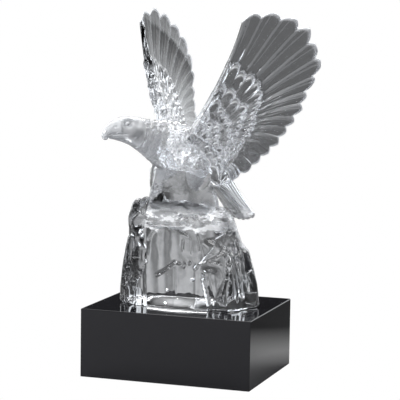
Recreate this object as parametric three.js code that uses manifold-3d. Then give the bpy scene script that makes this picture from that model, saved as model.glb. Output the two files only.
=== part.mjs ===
// A cast crystal eagle with raised wings on a crag, standing on a black crystal block.
// Millimetres, +Z up. The origin is the middle of the block's underside, the block's long side runs
// along X, and its front faces -Y. Eagle and crag are one casting, so they are one solid.

import * as THREE from 'three';
import { mergeVertices } from 'three/addons/utils/BufferGeometryUtils.js';
import Module from 'manifold-3d';

const wasm = await Module();
wasm.setup();

// Black block: outer sizes, and the polished bevel along its edges.
const block = { width: 127, depth: 101, height: 49.5, bevel: 0.7 };

// The casting rests on the block's top with a thin bed between them.
const bedThickness = 0.3;

// Crag: sizes at its foot and at its shoulder, and its height up to the ledge the eagle stands on.
const crag = {
  height: 70,
  footLength: 99,
  footDepth: 62,
  topLength: 70,
  topDepth: 48,
  topShift: -5,
  shoulder: 1.7,
  rimRise: 2.4,
  sides: 48,
  levels: 12,
};

// Ribs and hollows down the crag's sides: the angle each sits at from +X, its half width and its
// turn over the crag's height in degrees, the shares of the height it spans, and how far it reaches.
const ribs = [
  { at: -152, width: 16, turn: 6, from: 0, to: 0.72, reach: 3.4 },
  { at: -126, width: 9, turn: -4, from: 0, to: 0.62, reach: -3.2 },
  { at: -88, width: 26, turn: 0, from: 0.1, to: 0.86, reach: -2.6 },
  { at: -52, width: 9, turn: -10, from: 0, to: 0.42, reach: -4.6 },
  { at: -36, width: 14, turn: -16, from: 0, to: 0.7, reach: 3.6 },
  { at: -14, width: 8, turn: -12, from: 0.05, to: 0.6, reach: -2.4 },
  { at: 6, width: 13, turn: -8, from: 0, to: 0.62, reach: 3.8 },
  { at: 36, width: 12, turn: 8, from: 0.1, to: 0.8, reach: -2.6 },
  { at: 64, width: 14, turn: -8, from: 0, to: 0.7, reach: 2.8 },
  { at: 98, width: 16, turn: 6, from: 0.2, to: 0.9, reach: -2.8 },
  { at: 134, width: 14, turn: 8, from: 0, to: 0.75, reach: 3 },
  { at: 168, width: 10, turn: -6, from: 0.1, to: 0.7, reach: -2.4 },
];

// Knobs of rock along the ledge's left end: place, half sizes, and the top's height over the ledge.
const knobs = [
  { at: [-29, -11], size: [6.5, 8, 16], top: 8.5 },
  { at: [-36.5, -8], size: [6.5, 10, 19], top: 6 },
  { at: [-31, -13], size: [9, 8, 14], top: 0 },
  { at: [-35, 7], size: [8, 9, 16], top: 2 },
  { at: [25, -9], size: [9, 8, 10], top: 1.5 },
];

// Eagle: its heading on the block, counted from +X towards +Y. Its own frame has x forward, y to its
// left and z up from the crag's ledge.
const eagle = { heading: THREE.MathUtils.degToRad(225) };

// The body's line from tail root to beak tip: forward, up, half height, half width.
const bodyStations = [
  [-33, 19, 5, 9],
  [-26, 24, 9.5, 12],
  [-15, 30, 14.5, 15],
  [-3, 36.5, 18, 17.5],
  [9, 42.5, 19.5, 18],
  [20, 47, 18, 16],
  [29, 50.5, 14.5, 12.5],
  [37, 53.5, 12, 10],
  [45, 56.5, 10.3, 8.8],
  [52, 58, 9.2, 8.2],
  [58, 57.6, 7.7, 6.2],
  [63, 56, 5.6, 4.2],
  [66.2, 53.6, 3.4, 2.6],
  [67, 50.8, 1.2, 1.1],
];

// Where each wing joins the body, how far it leans out from upright, how far its rear swings out,
// how far it bows outwards, and how far its lower feathers twist outwards of its upper ones.
const wings = {
  left: { side: 1, root: [14, 10, 48], lean: 26, sweep: 26, bow: 3, twist: 0 },
  right: { side: -1, root: [10.5, 10, 51], lean: 34, sweep: 35.5, bow: 3.7, twist: 22.5 },
};

// The plate and feathers of either wing; sizes across feathers are shares of a feather's length.
const wing = {
  rootThickness: 10,
  tipThickness: 2.6,
  edgeThickness: 6.5,
  feathers: 16,
  primaries: 8,
  coverts: [0.2, 0.34, 0.48, 0.64],
  covertRelief: 1.1,
  groove: 0.75,
  covertGroove: 0.35,
  scallop: 0.06,
  notch: 0.04,
};

// The plate's outline in its own plane, in millimetres back and up from the joint: the arc that the
// primary tips lie on, the last secondary's tip and how far the tips before it swell out, the root
// line, and the line the feathers bend round.
const plan = {
  tipArc: { centre: [60.5, 67], radius: 38, first: 117, step: -21.6 },
  lastTip: [38, -30],
  lastBulge: 7,
  root: [[1, -2], [9, -14], [30, -32]],
  knee: [[35.5, 60.5], [41, 44], [43, 34], [43, 27], [41, 18], [32, -6]],
};

// Tail: a fan of feathers, from its root to its end.
const tail = {
  root: [-22, 19],
  end: [-42, -10],
  rootHalfWidth: 13,
  endHalfWidth: 23,
  rootThickness: 12,
  endThickness: 3.4,
  feathers: 7,
  groove: 0.8,
  notch: 0.09,
};

// Legs: side offset, then the line of thigh and shank down to the foot.
const leg = {
  offset: 10,
  thigh: [[2, 33, 13, 9], [6, 24, 12, 8.5], [9, 16, 9, 7], [10.5, 10, 6, 5]],
  shank: [[10, 14, 4, 4], [10, 6, 3.3, 3.3], [12, -2, 4.2, 4.2]],
  leftStep: -6,
  rightStep: 9,
  toeLength: 14,
  toeRadius: 2.5,
  toeSpread: THREE.MathUtils.degToRad(34),
};

// The mass of crystal left between belly and crag, which carries the eagle.
const pillar = [
  [5, -12, 29, 21],
  [5, 2, 27, 19],
  [5.5, 14, 24.5, 16.5],
  [4.5, 29, 22, 14],
];

const ledge = block.height + bedThickness + crag.height;

// Moves every vertex of a closed geometry by a function of where it is.
function warp(geometry, place) {
  const points = geometry.attributes.position;
  const point = new THREE.Vector3();
  for (let i = 0; i < points.count; i++) {
    place(point.fromBufferAttribute(points, i));
    points.setXYZ(i, point.x, point.y, point.z);
  }
  return geometry;
}

// A closed geometry as a solid that can be joined and cut.
function solid(geometry) {
  geometry.deleteAttribute('normal');
  geometry.deleteAttribute('uv');
  const merged = mergeVertices(geometry, 1e-3);
  return new wasm.Manifold(new wasm.Mesh({
    numProp: 3,
    vertProperties: merged.attributes.position.array,
    triVerts: new Uint32Array(merged.index.array),
  }));
}

function geometryOf(manifold) {
  const mesh = manifold.getMesh();
  const geometry = new THREE.BufferGeometry();
  geometry.setAttribute('position', new THREE.BufferAttribute(mesh.vertProperties, 3));
  geometry.setIndex(new THREE.BufferAttribute(mesh.triVerts, 1));
  geometry.computeVertexNormals();
  return geometry;
}

// A smooth line through points given as arrays, read at a share from 0 to 1.
function line(points) {
  const vectors = points.map((p) => new THREE.Vector3(p[0], p[1], p[2] ?? 0));
  return new THREE.CatmullRomCurve3(vectors, false, 'centripetal');
}

// A closed limb round a line of stations [x, y, z, half size across, half size in its plane].
function limb(stations, sides, steps) {
  const path = line(stations);
  const sizes = line(stations.map((s) => [s[3], s[4]]));
  const last = stations.length - 1;
  return warp(new THREE.CylinderGeometry(1, 1, 1, sides, steps), (v) => {
    const share = v.y + 0.5;
    const centre = path.getPoint(share);
    const size = sizes.getPoint(share);
    const tangent = path.getTangent(Math.min(Math.max(share, 0.5 / last), 1 - 0.5 / last));
    const across = new THREE.Vector3(0, 1, 0);
    across.addScaledVector(tangent, -across.dot(tangent)).normalize();
    const inPlane = new THREE.Vector3().crossVectors(tangent, across);
    const [x, z] = [v.x, v.z];
    v.copy(centre).addScaledVector(across, x * size.x).addScaledVector(inPlane, -z * size.y);
  });
}

// Stations in the eagle's middle plane, as limb() reads them.
const inMiddle = ([x, z, halfHeight, halfWidth], y = 0) => [x, y, z, halfWidth, halfHeight];

function makeBody() {
  return solid(limb(bodyStations.map((s) => inMiddle(s)), 18, 22));
}

// Brow ridges over the eyes, and the eyes under them.
function makeFace() {
  const parts = [];
  for (const side of [-1, 1]) {
    const brow = new THREE.SphereGeometry(1, 10, 6).scale(5, 1.8, 1.4);
    parts.push(solid(brow.rotateY(0.12).translate(53.5, side * 6, 64.6)));
    const eye = new THREE.SphereGeometry(1.5, 8, 6);
    parts.push(solid(eye.translate(52.6, side * 7, 62.4)));
  }
  return parts;
}

// How far a point across one feather is from its shaft, 0 at the shaft and 1 at either edge.
const fromShaft = (feather) => Math.abs(2 * (feather - Math.floor(feather)) - 1);

// Tip of the feather with this number, counted from the wing's leading edge.
function featherTip(number) {
  const { centre, radius, first, step } = plan.tipArc;
  const onArc = (n) => {
    const angle = THREE.MathUtils.degToRad(first + step * n);
    return [centre[0] + radius * Math.cos(angle), centre[1] + radius * Math.sin(angle)];
  };
  const lastOnArc = wing.primaries - 1;
  if (number <= lastOnArc) return onArc(number);
  const start = onArc(lastOnArc);
  const share = (number - lastOnArc) / (wing.feathers - lastOnArc);
  const swell = 4 * plan.lastBulge * share * (1 - share);
  return start.map((from, i) => from + (plan.lastTip[i] - from) * share + [swell, -swell][i] / 1.41);
}

const rootLine = line(plan.root);
const kneeLine = line(plan.knee);

// A point of the wing's plan: feather counts across it, share runs from root to tip.
function planPoint(feather, share) {
  const across = feather / wing.feathers;
  const root = rootLine.getPoint(across);
  const knee = kneeLine.getPoint(across);
  const tip = featherTip(feather);
  const bend = [(1 - share) ** 2, 2 * share * (1 - share), share ** 2];
  return [
    bend[0] * root.x + bend[1] * knee.x + bend[2] * tip[0],
    bend[0] * root.y + bend[1] * knee.y + bend[2] * tip[1],
  ];
}

// The rows of coverts end in scallops, every other row half a feather along.
function covertEdge(row, feather) {
  const shifted = feather + (row % 2) / 2;
  return wing.coverts[row] - wing.scallop * fromShaft(shifted) ** 2;
}

// Shares from root to tip at which the plate has a line of vertices, with the relief there.
function wingLines(feather) {
  const lines = [{ share: 0, relief: 0, groove: 0 }];
  const stepWidth = 0.012;
  wing.coverts.forEach((_, row) => {
    const edge = covertEdge(row, feather);
    lines.push({ share: edge - stepWidth, relief: wing.covertRelief, groove: wing.covertGroove });
    lines.push({ share: edge, relief: 0, groove: wing.covertGroove });
  });
  lines.push({ share: 0.84, relief: 0, groove: wing.groove });
  lines.push({ share: 1, relief: 0, groove: wing.groove });
  return lines;
}

// One wing as a closed plate with feathers carved on both faces; side is 1 for left, -1 for right.
function makeWing({ side, root, lean, sweep, bow, twist }) {
  const perFeather = 3;
  const columns = wing.feathers * perFeather;
  const rows = wingLines(0).length - 1;
  const [tilt, swing] = [THREE.MathUtils.degToRad(lean), THREE.MathUtils.degToRad(sweep)];
  const back = new THREE.Vector3(-Math.cos(swing), Math.sin(swing), 0);
  const outward = new THREE.Vector3(Math.sin(swing), Math.cos(swing), 0);
  const up = new THREE.Vector3(0, 0, Math.cos(tilt)).addScaledVector(outward, Math.sin(tilt));
  const face = new THREE.Vector3().crossVectors(back, up);
  const plate = warp(new THREE.BoxGeometry(1, 1, 1, columns, rows, 1), (v) => {
    const column = Math.round((v.x + 0.5) * columns);
    const feather = Math.floor(column / perFeather) + [0, 0.22, 0.78][column % perFeather];
    const { share, relief, groove } = wingLines(feather)[Math.round((v.y + 0.5) * rows)];
    const shape = 1 - wing.notch * fromShaft(feather) ** 2 * share ** 4;
    const [p, q] = planPoint(feather, share * shape);
    const thin = THREE.MathUtils.lerp(wing.rootThickness, wing.tipThickness, share ** 0.6);
    const lead = (wing.edgeThickness - wing.tipThickness) * Math.exp(-feather) * (1 - share ** 3);
    const half = (thin + lead) / 2 + relief - groove * fromShaft(feather) ** 4;
    const [fore, top] = [Math.hypot(p, q) / Math.hypot(...featherTip(0)), featherTip(0)[1]];
    const turned = twist * (p / top) * Math.min(1, 1 - 1.4 * q / top);
    const offset = bow * Math.sin(Math.PI * Math.min(1, fore)) + turned + Math.sign(v.z) * half;
    v.set(...root).addScaledVector(back, p).addScaledVector(up, q).addScaledVector(face, offset);
    v.y *= side;
  });
  if (side < 0) flip(plate);
  return solid(plate);
}

// Turns a mirrored geometry's faces outwards again.
function flip(geometry) {
  const index = geometry.index.array;
  for (let i = 0; i < index.length; i += 3) [index[i], index[i + 1]] = [index[i + 1], index[i]];
}

// Shoulder muscle that the wing grows out of.
function makeShoulder(side) {
  const muscle = new THREE.SphereGeometry(1, 14, 10).scale(27, 8.5, 15);
  return solid(muscle.rotateY(-0.5).translate(1, side * 12, 40));
}

function makeTail() {
  const perFeather = 3;
  const columns = tail.feathers * perFeather;
  return solid(warp(new THREE.BoxGeometry(1, 1, 1, columns, 4, 1), (v) => {
    const column = Math.round((v.x + 0.5) * columns);
    const feather = Math.floor(column / perFeather) + [0, 0.25, 0.75][column % perFeather];
    const across = 2 * (feather / tail.feathers) - 1;
    const share = v.y + 0.5;
    const reach = 1 - tail.notch * fromShaft(feather) ** 2 * share ** 3 - 0.1 * across ** 2 * share;
    const width = THREE.MathUtils.lerp(tail.rootHalfWidth, tail.endHalfWidth, share);
    const thin = THREE.MathUtils.lerp(tail.rootThickness, tail.endThickness, share ** 0.5);
    const half = thin / 2 - tail.groove * fromShaft(feather) ** 4;
    const along = new THREE.Vector2(tail.end[0] - tail.root[0], tail.end[1] - tail.root[1]);
    const arch = 3 * across ** 2;
    const normal = new THREE.Vector2(-along.y, along.x).normalize();
    const offset = Math.sign(v.z) * half + arch;
    v.set(
      tail.root[0] + along.x * share * reach - normal.x * offset,
      across * width,
      tail.root[1] + along.y * share * reach - normal.y * offset,
    );
  }));
}

// Thigh, shank and four toes of one leg.
function makeLeg(side, step) {
  const y = side * leg.offset;
  const placed = (stations) => stations.map((s) => inMiddle([s[0] + step, ...s.slice(1)], y));
  const thigh = limb(placed(leg.thigh), 12, 6);
  const shank = limb(placed(leg.shank), 8, 4);
  const foot = placed(leg.shank).at(-1);
  const toes = [-1, 0, 1, Math.PI / leg.toeSpread].map((turn) => {
    const angle = turn * leg.toeSpread;
    const reach = turn > 1 ? leg.toeLength * 0.6 : leg.toeLength;
    const at = (share, drop) => [
      foot[0] + reach * share * Math.cos(angle),
      foot[1] + reach * share * Math.sin(angle),
      foot[2] + drop,
    ];
    const r = leg.toeRadius;
    return solid(limb([
      [...at(0, 0), r, r],
      [...at(0.5, 1.5), r, r],
      [...at(0.85, -0.5), r * 0.8, r * 0.8],
      [...at(1.05, -4), r * 0.3, r * 0.3],
    ], 7, 5));
  });
  return [solid(thigh), solid(shank), ...toes];
}

function makePillar() {
  return solid(limb(pillar.map(([x, z, along, across]) => [x, 0, z, across, along]), 20, 6));
}

// How far the ribs and hollows move the crag's side at an angle in degrees and a share of its height.
function ribReach(angle, share) {
  return ribs.reduce((total, rib) => {
    const turned = angle - rib.at - rib.turn * share;
    const away = (((turned % 360) + 540) % 360 - 180) / rib.width;
    const fade = THREE.MathUtils.smoothstep(share, rib.from - 0.08, rib.from + 0.04);
    const end = 1 - THREE.MathUtils.smoothstep(share, rib.to - 0.05, rib.to + 0.05);
    return total + rib.reach * Math.max(0, 1 - away ** 2) * fade * end;
  }, 0);
}

function makeCrag() {
  const rock = new THREE.CylinderGeometry(1, 1, 1, crag.sides, crag.levels);
  return solid(warp(rock, (v) => {
    const share = v.y + 0.5;
    const angle = Math.atan2(-v.z, v.x);
    const radius = Math.hypot(v.x, v.z);
    const taper = share ** crag.shoulder;
    const length = THREE.MathUtils.lerp(crag.footLength, crag.topLength, taper) / 2;
    const depth = THREE.MathUtils.lerp(crag.footDepth, crag.topDepth, taper) / 2;
    const reach = ribReach(THREE.MathUtils.radToDeg(angle), share);
    const rise = share > 0.95 ? crag.rimRise * radius * Math.sin(3 * angle + 1) : 0;
    v.set(
      crag.topShift * taper + radius * (length + reach) * Math.cos(angle),
      radius * (depth + reach) * Math.sin(angle),
      block.height + bedThickness + crag.height * share + rise,
    );
  }));
}

function makeKnobs() {
  return knobs.map(({ at, size, top }) => {
    const knob = new THREE.SphereGeometry(1, 10, 8).scale(...size);
    return solid(knob.translate(...at, ledge + top - size[2]));
  });
}

function makeEagle() {
  const parts = [
    makeBody(),
    ...makeFace(),
    makeShoulder(1),
    makeShoulder(-1),
    makeWing(wings.left),
    makeWing(wings.right),
    makeTail(),
    ...makeLeg(1, leg.leftStep),
    ...makeLeg(-1, leg.rightStep),
    makePillar(),
  ];
  const joined = parts.reduce((whole, part) => whole.add(part));
  const degrees = THREE.MathUtils.radToDeg(eagle.heading);
  return joined.rotate([0, 0, degrees]).translate([0, 0, ledge]);
}

function makeBlock() {
  const { width, depth, height, bevel } = block;
  const outline = new THREE.Shape();
  const [x, y] = [width / 2 - bevel, depth / 2 - bevel];
  outline.moveTo(-x, -y).lineTo(x, -y).lineTo(x, y).lineTo(-x, y).closePath();
  const extruded = new THREE.ExtrudeGeometry(outline, {
    depth: height - 2 * bevel,
    bevelEnabled: true,
    bevelThickness: bevel,
    bevelSize: bevel,
    bevelSegments: 1,
  });
  return solid(extruded.translate(0, 0, bevel));
}

const crystal = new THREE.MeshStandardMaterial({ color: '#dfe3e6', roughness: 0.03, metalness: 0 });
const black = new THREE.MeshStandardMaterial({ color: '#0b0b0d', roughness: 0.08, metalness: 0 });

const eagleOnCrag = [makeCrag(), ...makeKnobs()].reduce((whole, rock) => whole.add(rock), makeEagle());

const sculpture = new THREE.Group();
const parts = { crystal_eagle: [eagleOnCrag, crystal], black_block: [makeBlock(), black] };
for (const [name, [shape, material]] of Object.entries(parts)) {
  const mesh = new THREE.Mesh(geometryOf(shape), material);
  mesh.name = name;
  sculpture.add(mesh);
}

export default sculpture;
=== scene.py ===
"""A clear crystal eagle with raised wings, cast in one with its crag, on a polished black crystal block."""

import math

import bmesh
import bpy
from bpy.props import FloatProperty, FloatVectorProperty, PointerProperty
from mathutils import Matrix, Vector, noise


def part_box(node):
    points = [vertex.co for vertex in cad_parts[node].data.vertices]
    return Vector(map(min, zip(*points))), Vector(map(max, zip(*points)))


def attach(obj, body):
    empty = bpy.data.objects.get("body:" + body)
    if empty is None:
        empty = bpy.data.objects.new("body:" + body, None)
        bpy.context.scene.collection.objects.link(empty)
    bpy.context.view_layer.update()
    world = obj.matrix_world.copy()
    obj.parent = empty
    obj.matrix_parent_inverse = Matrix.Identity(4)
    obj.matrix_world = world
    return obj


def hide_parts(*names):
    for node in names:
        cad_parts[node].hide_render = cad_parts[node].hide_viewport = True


bl_info = {
    "name": "Crystal eagle on a black block",
    "version": (1, 0, 0),
    "blender": (4, 5, 0),
    "location": "View3D > Sidebar > Crystal eagle",
    "description": "Builds a cast crystal eagle on its crag, the black block under it and a studio",
    "category": "Object",
}

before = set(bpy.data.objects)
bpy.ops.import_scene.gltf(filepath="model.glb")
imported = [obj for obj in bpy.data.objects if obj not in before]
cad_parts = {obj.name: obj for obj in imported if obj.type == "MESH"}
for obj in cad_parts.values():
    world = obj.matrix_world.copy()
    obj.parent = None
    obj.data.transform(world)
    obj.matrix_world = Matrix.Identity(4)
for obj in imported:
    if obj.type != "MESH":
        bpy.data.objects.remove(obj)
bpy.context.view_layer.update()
BLOCK_LOW, BLOCK_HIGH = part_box("black_block")

MM = 0.001


def linear(code):
    """An sRGB hex colour as linear red, green and blue."""
    values = [int(code[i:i + 2], 16) / 255 for i in (1, 3, 5)]
    return tuple(v / 12.92 if v <= 0.04045 else ((v + 0.055) / 1.055) ** 2.4 for v in values)


# Shapes are worked out in millimetres. The eagle has a frame of its own: x forward, y to its left and
# z up from the ledge of the crag.
BLOCK_TOP = 49.5
BED = 0.3
CRAG_HEIGHT = 70
LEDGE = BLOCK_TOP + BED + CRAG_HEIGHT

# Forward, up, half height and half width along the body, from the tail's root to the beak's tip.
BODY_STATIONS = [
    (-33, 19, 5, 9), (-26, 24, 9.5, 12), (-15, 30, 14.5, 15), (-3, 36.5, 18, 17.5),
    (9, 42.5, 19.5, 18), (20, 47, 18, 16), (29, 50.5, 14.5, 12.5), (37, 53.5, 12, 10),
    (45, 56.5, 10.3, 8.8), (52, 58, 9.2, 8.2), (58, 57.6, 7.7, 6.2), (63, 56, 5.6, 4.2),
    (66.2, 53.6, 3.4, 2.6), (67, 50.8, 1.2, 1.1),
]

# Both wings: joint with the body, how far each bows outwards, how its lower feathers twist and how
# deep its flight feathers are marked.
WINGS = {
    1: {"root": (14, 10, 48), "bow": 3, "twist": 0, "relief": 1.0},
    -1: {"root": (10.5, 10, 51), "bow": 3.7, "twist": 22.5, "relief": 0.6},
}
# Feathers of a wing, of which the first are primaries, and the plate's thickness at its root, at the
# feathers' tips and along the leading edge.
FEATHERS = 16
PRIMARIES = 8
ROOT_THICKNESS = 10
TIP_THICKNESS = 2.6
EDGE_THICKNESS = 6.5

# Rows of coverts from the shoulder out: where each ends along the feathers, how far it stands up and
# how many feathers wide each covert is.
COVERT_ROWS = [
    (0.12, 0.8, 3), (0.2, 1.0, 2), (0.28, 1.1, 2), (0.37, 1.2, 1.5), (0.48, 1.3, 1.5), (0.61, 1.4, 1),
]

# The wing's outline in its own plane, back and up from its joint: the arc of the primaries' tips with
# the first angle and the step to the next, the last secondary's tip, how far the tips before it swell
# out, the root, and the line that the feathers bend round.
TIP_ARC = {"centre": (60.5, 67), "radius": 38, "first": 117, "step": -21.6}
LAST_TIP = (38, -30)
LAST_BULGE = 7
ROOT_LINE = [(1, -2), (9, -14), (30, -32)]
KNEE_LINE = [(35.5, 60.5), (41, 44), (43, 34), (43, 27), (41, 18), (32, -6)]

# Tail: its root and end in the middle plane, and its half widths and thicknesses there.
TAIL = {"root": (-22, 19), "end": (-42, -10), "half_widths": (13, 23), "thickness": (12, 3.4)}
TAIL_FEATHERS = 7
TAIL_ROWS = 40

# Swellings and dents of the head, mirrored on both sides, by place, size and height: brow, eye
# socket, cheek, hollow behind the eye, gape, nostril and the edge of the beak.
HEAD_FORMS = [
    ((53.5, 6.5, 65.4), (8, 5, 2.2), 2.0), ((52.6, 8.4, 62.2), (3.6, 5, 2.8), -2.0),
    ((47, 8.5, 57.5), (7, 6, 6), 1.0), ((44, 9, 62), (3.5, 6, 4), -0.8),
    ((58.5, 6, 55.2), (9, 8, 1.1), -1.5), ((60.5, 4, 60.3), (1.6, 4, 1.1), -1.2),
    ((57.5, 5, 60), (1.6, 9, 9), 0.7),
]
EYE = {"place": (52.6, 7, 62.4), "radius": 1.5, "ring": (52.6, 7.5, 62.4)}

# Legs: side offset, then thigh and shank as forward, up, half height and half width, and how far each
# leg steps forward.
LEG_OFFSET = 10
THIGH = [(2, 33, 13, 9), (6, 24, 12, 8.5), (9, 16, 9, 7), (10.5, 10, 6, 5)]
SHANK = [(10, 14, 4, 4), (10, 6, 3.3, 3.3), (12, -2, 4.2, 4.2)]
LEG_STEPS = {1: -6, -1: 9}

# Toes: the angle of each from straight ahead, with the hind one at 180 degrees, length and radius,
# and their line as share of the length, height and share of the radius.
TOES = (-34, 0, 34, 180)
TOE_LENGTH = 14
TOE_RADIUS = 2.5
TOE_LINE = [(0, 0, 1), (0.5, 1.5, 1), (0.85, -0.5, 0.8), (1.05, -4, 0.3)]

# Pillar of crystal under the belly: forward, up, half along and half across.
PILLAR = [(5, -12, 29, 21), (5, 2, 27, 19), (5.5, 14, 24.5, 16.5), (4.5, 29, 22, 14)]

# Crag: length and depth at its foot and at its ledge, how far the ledge is shifted along X and how
# much it rises and falls, and how the side tapers to it.
FOOT_SIZE = (99, 62)
LEDGE_SIZE = (70, 48)
LEDGE_SHIFT = -5
LEDGE_RISE = 2.4
TAPER_POWER = 1.7

# Ribs and hollows of the crag: angle, half width and turn in degrees, from and to as shares of its
# height, and reach.
RIBS = [
    (-152, 16, 6, 0, 0.72, 3.4), (-126, 9, -4, 0, 0.62, -3.2), (-88, 26, 0, 0.1, 0.86, -2.6),
    (-52, 9, -10, 0, 0.42, -4.6), (-36, 14, -16, 0, 0.7, 3.6), (-14, 8, -12, 0.05, 0.6, -2.4),
    (6, 13, -8, 0, 0.62, 3.8), (36, 12, 8, 0.1, 0.8, -2.6), (64, 14, -8, 0, 0.7, 2.8),
    (98, 16, 6, 0, 0.9, -2.8), (134, 14, 8, 0, 0.75, 3), (168, 10, -6, 0.1, 0.7, -2.4),
]

# Knobs along the ledge: place, half sizes and the top's height over the ledge.
KNOBS = [
    ((-29, -11), (6.5, 8, 16), 8.5), ((-36.5, -8), (6.5, 10, 19), 6), ((-31, -13), (9, 8, 14), 0),
    ((-35, 7), (8, 9, 16), 2), ((25, -9), (9, 8, 10), 1.5),
]

# Air bubbles sealed in the crag: place and radius.
BUBBLES = [((10.6, -20.5, 71), 1.5), ((-7.6, -22, 62.6), 1.2)]

# The camera, as fitted to the seen corners of the block: its turns in degrees and, in metres, its
# place along its own axes.
CAMERA_AZIMUTH, CAMERA_ELEVATION, CAMERA_ROLL = 18.8594, 6.5804, -0.864
CAMERA_PLACE = (0.0095102, 0.124676, 1.24687)
CAMERA_LENS = 153

# The way to the right and the way ahead in that view, along the floor.
RIGHTWARDS = (0.9463, 0.3233, 0.0)
AHEAD = (-0.3233, 0.9463, 0.0)

# Soft panels of the studio: place, aim and size in metres, and power in watts.
PANELS = {
    "left_lamp": ((-0.9, -1.1, 0.9), (0, 0, 0.2), (0.1, 0.1), 32),
    "back_strip": ((-0.32, 0.95, 1.0), (0, 0, 0.2), (0.9, 0.14), 8),
    "top_panel": ((0, 0, 1.15), (0, 0, 0.1), (0.9, 0.9), 9),
}

# Colour of the adhesive under the casting.
ADHESIVE = "#101010"

# Light of the room's two windows, a cool white.
WINDOW_LIGHT = (1.9, 1.95, 2.0, 1)


class CrystalSettings(bpy.types.PropertyGroup):
    """Sizes and colour of the crystal eagle and its crag."""

    heading: FloatProperty(name="Heading", description="Way the eagle faces, from +X towards +Y",
                           default=math.radians(225), subtype="ANGLE")
    left_lean: FloatProperty(name="Left wing lean", description="How far the left wing leans outwards",
                             default=math.radians(26), subtype="ANGLE")
    left_sweep: FloatProperty(name="Left wing sweep", description="How far its rear swings outwards",
                              default=math.radians(26), subtype="ANGLE")
    right_lean: FloatProperty(name="Right wing lean", description="How far the right wing leans outwards",
                              default=math.radians(34), subtype="ANGLE")
    right_sweep: FloatProperty(name="Right wing sweep", description="How far its rear swings outwards",
                               default=math.radians(35.5), subtype="ANGLE")
    groove: FloatProperty(name="Feather groove", description="Depth of the groove between flight feathers",
                          default=0.36 * MM, unit="LENGTH")
    relief: FloatProperty(name="Covert relief", description="Share of the coverts' full height",
                          default=1.0, subtype="FACTOR")
    colour: FloatVectorProperty(name="Crystal", description="Colour of the clear crystal",
                                default=linear("#f6f8fb"), subtype="COLOR", size=3, min=0, max=1)


class BlockSettings(bpy.types.PropertyGroup):
    """Sizes and colour of the black block."""

    bevel: FloatProperty(name="Bevel", description="Width of the polished bevel along the edges",
                         default=0.5 * MM, unit="LENGTH")
    colour: FloatVectorProperty(name="Black crystal", description="Colour of the block",
                                default=linear("#17171a"), subtype="COLOR", size=3, min=0, max=1)


class StudioSettings(bpy.types.PropertyGroup):
    """Floor and light of the studio."""

    floor_radius: FloatProperty(name="Floor radius", description="Radius of the round floor",
                                default=3.0, unit="LENGTH")
    floor: FloatVectorProperty(name="Floor", description="Colour of the floor in front",
                               default=linear("#7c7c7e"), subtype="COLOR", size=3, min=0, max=1)


def mix(a, b, share):
    """The value that share of the way from a to b."""
    return a + (b - a) * share


def smooth(value, low, high):
    """0 below low, 1 above high and a smooth step between."""
    x = min(1, max(0, (value - low) / (high - low)))
    return x * x * (3 - 2 * x)


def along(points, share):
    """A point of the smooth line through points, and its direction."""
    at = min(max(share, 0), 1) * (len(points) - 1)
    first = min(int(at), len(points) - 2)
    t = at - first
    p1, p2 = Vector(points[first]), Vector(points[first + 1])
    p0 = Vector(points[first - 1]) if first else 2 * p1 - p2
    p3 = Vector(points[first + 2]) if first + 2 < len(points) else 2 * p2 - p1
    gaps = [max((b - a).length ** 0.5, 1e-4) for a, b in ((p0, p1), (p1, p2), (p2, p3))]
    m1 = ((p1 - p0) / gaps[0] - (p2 - p0) / (gaps[0] + gaps[1]) + (p2 - p1) / gaps[1]) * gaps[1]
    m2 = ((p2 - p1) / gaps[1] - (p3 - p1) / (gaps[1] + gaps[2]) + (p3 - p2) / gaps[2]) * gaps[1]
    c2 = -3 * p1 + 3 * p2 - 2 * m1 - m2
    c3 = 2 * p1 - 2 * p2 + m1 + m2
    return p1 + t * (m1 + t * (c2 + t * c3)), m1 + t * (2 * c2 + 3 * t * c3)


def from_shaft(feather):
    """How far a count of feathers is from the nearest shaft: 0 on it, 1 where two feathers meet."""
    return abs(2 * (feather - math.floor(feather)) - 1)


def sphere(across, rounds, radius, place=(0, 0, 0)):
    """A sphere round a place."""
    form = bmesh.new()
    bmesh.ops.create_uvsphere(form, u_segments=across, v_segments=rounds, radius=radius,
                              matrix=Matrix.Translation(place))
    return form


def ball(across, rounds, place):
    """A closed form from a sphere; place gives each point from its angle and its share between poles."""
    form = sphere(across, rounds, 1)
    for vertex in form.verts:
        x, y, z = vertex.co
        share = 1 - math.acos(min(1, max(-1, z))) / math.pi
        vertex.co = place(math.atan2(y, x), share)
    bmesh.ops.recalc_face_normals(form, faces=form.faces)
    return form


def plate(columns, rows, place, frost):
    """A closed plate from a grid; place gives each point from its column, its row and its face.

    frost gives how satin the crystal is there, from 0 to 2, which the material reads as an attribute.
    """
    form = bmesh.new()
    layer = form.verts.layers.float.new("frost")
    bmesh.ops.create_grid(form, x_segments=columns, y_segments=rows, size=1)
    raised = bmesh.ops.extrude_face_region(form, geom=form.faces[:])["geom"]
    top = [part for part in raised if isinstance(part, bmesh.types.BMVert)]
    bmesh.ops.translate(form, verts=top, vec=(0, 0, 1))
    for vertex in form.verts:
        x, y, z = vertex.co
        column, row = round((x + 1) / 2 * columns), round((y + 1) / 2 * rows)
        vertex.co = place(column, row, 1 if z > 0.5 else -1)
        vertex[layer] = frost(column, row)
    bmesh.ops.recalc_face_normals(form, faces=form.faces)
    return form


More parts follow.
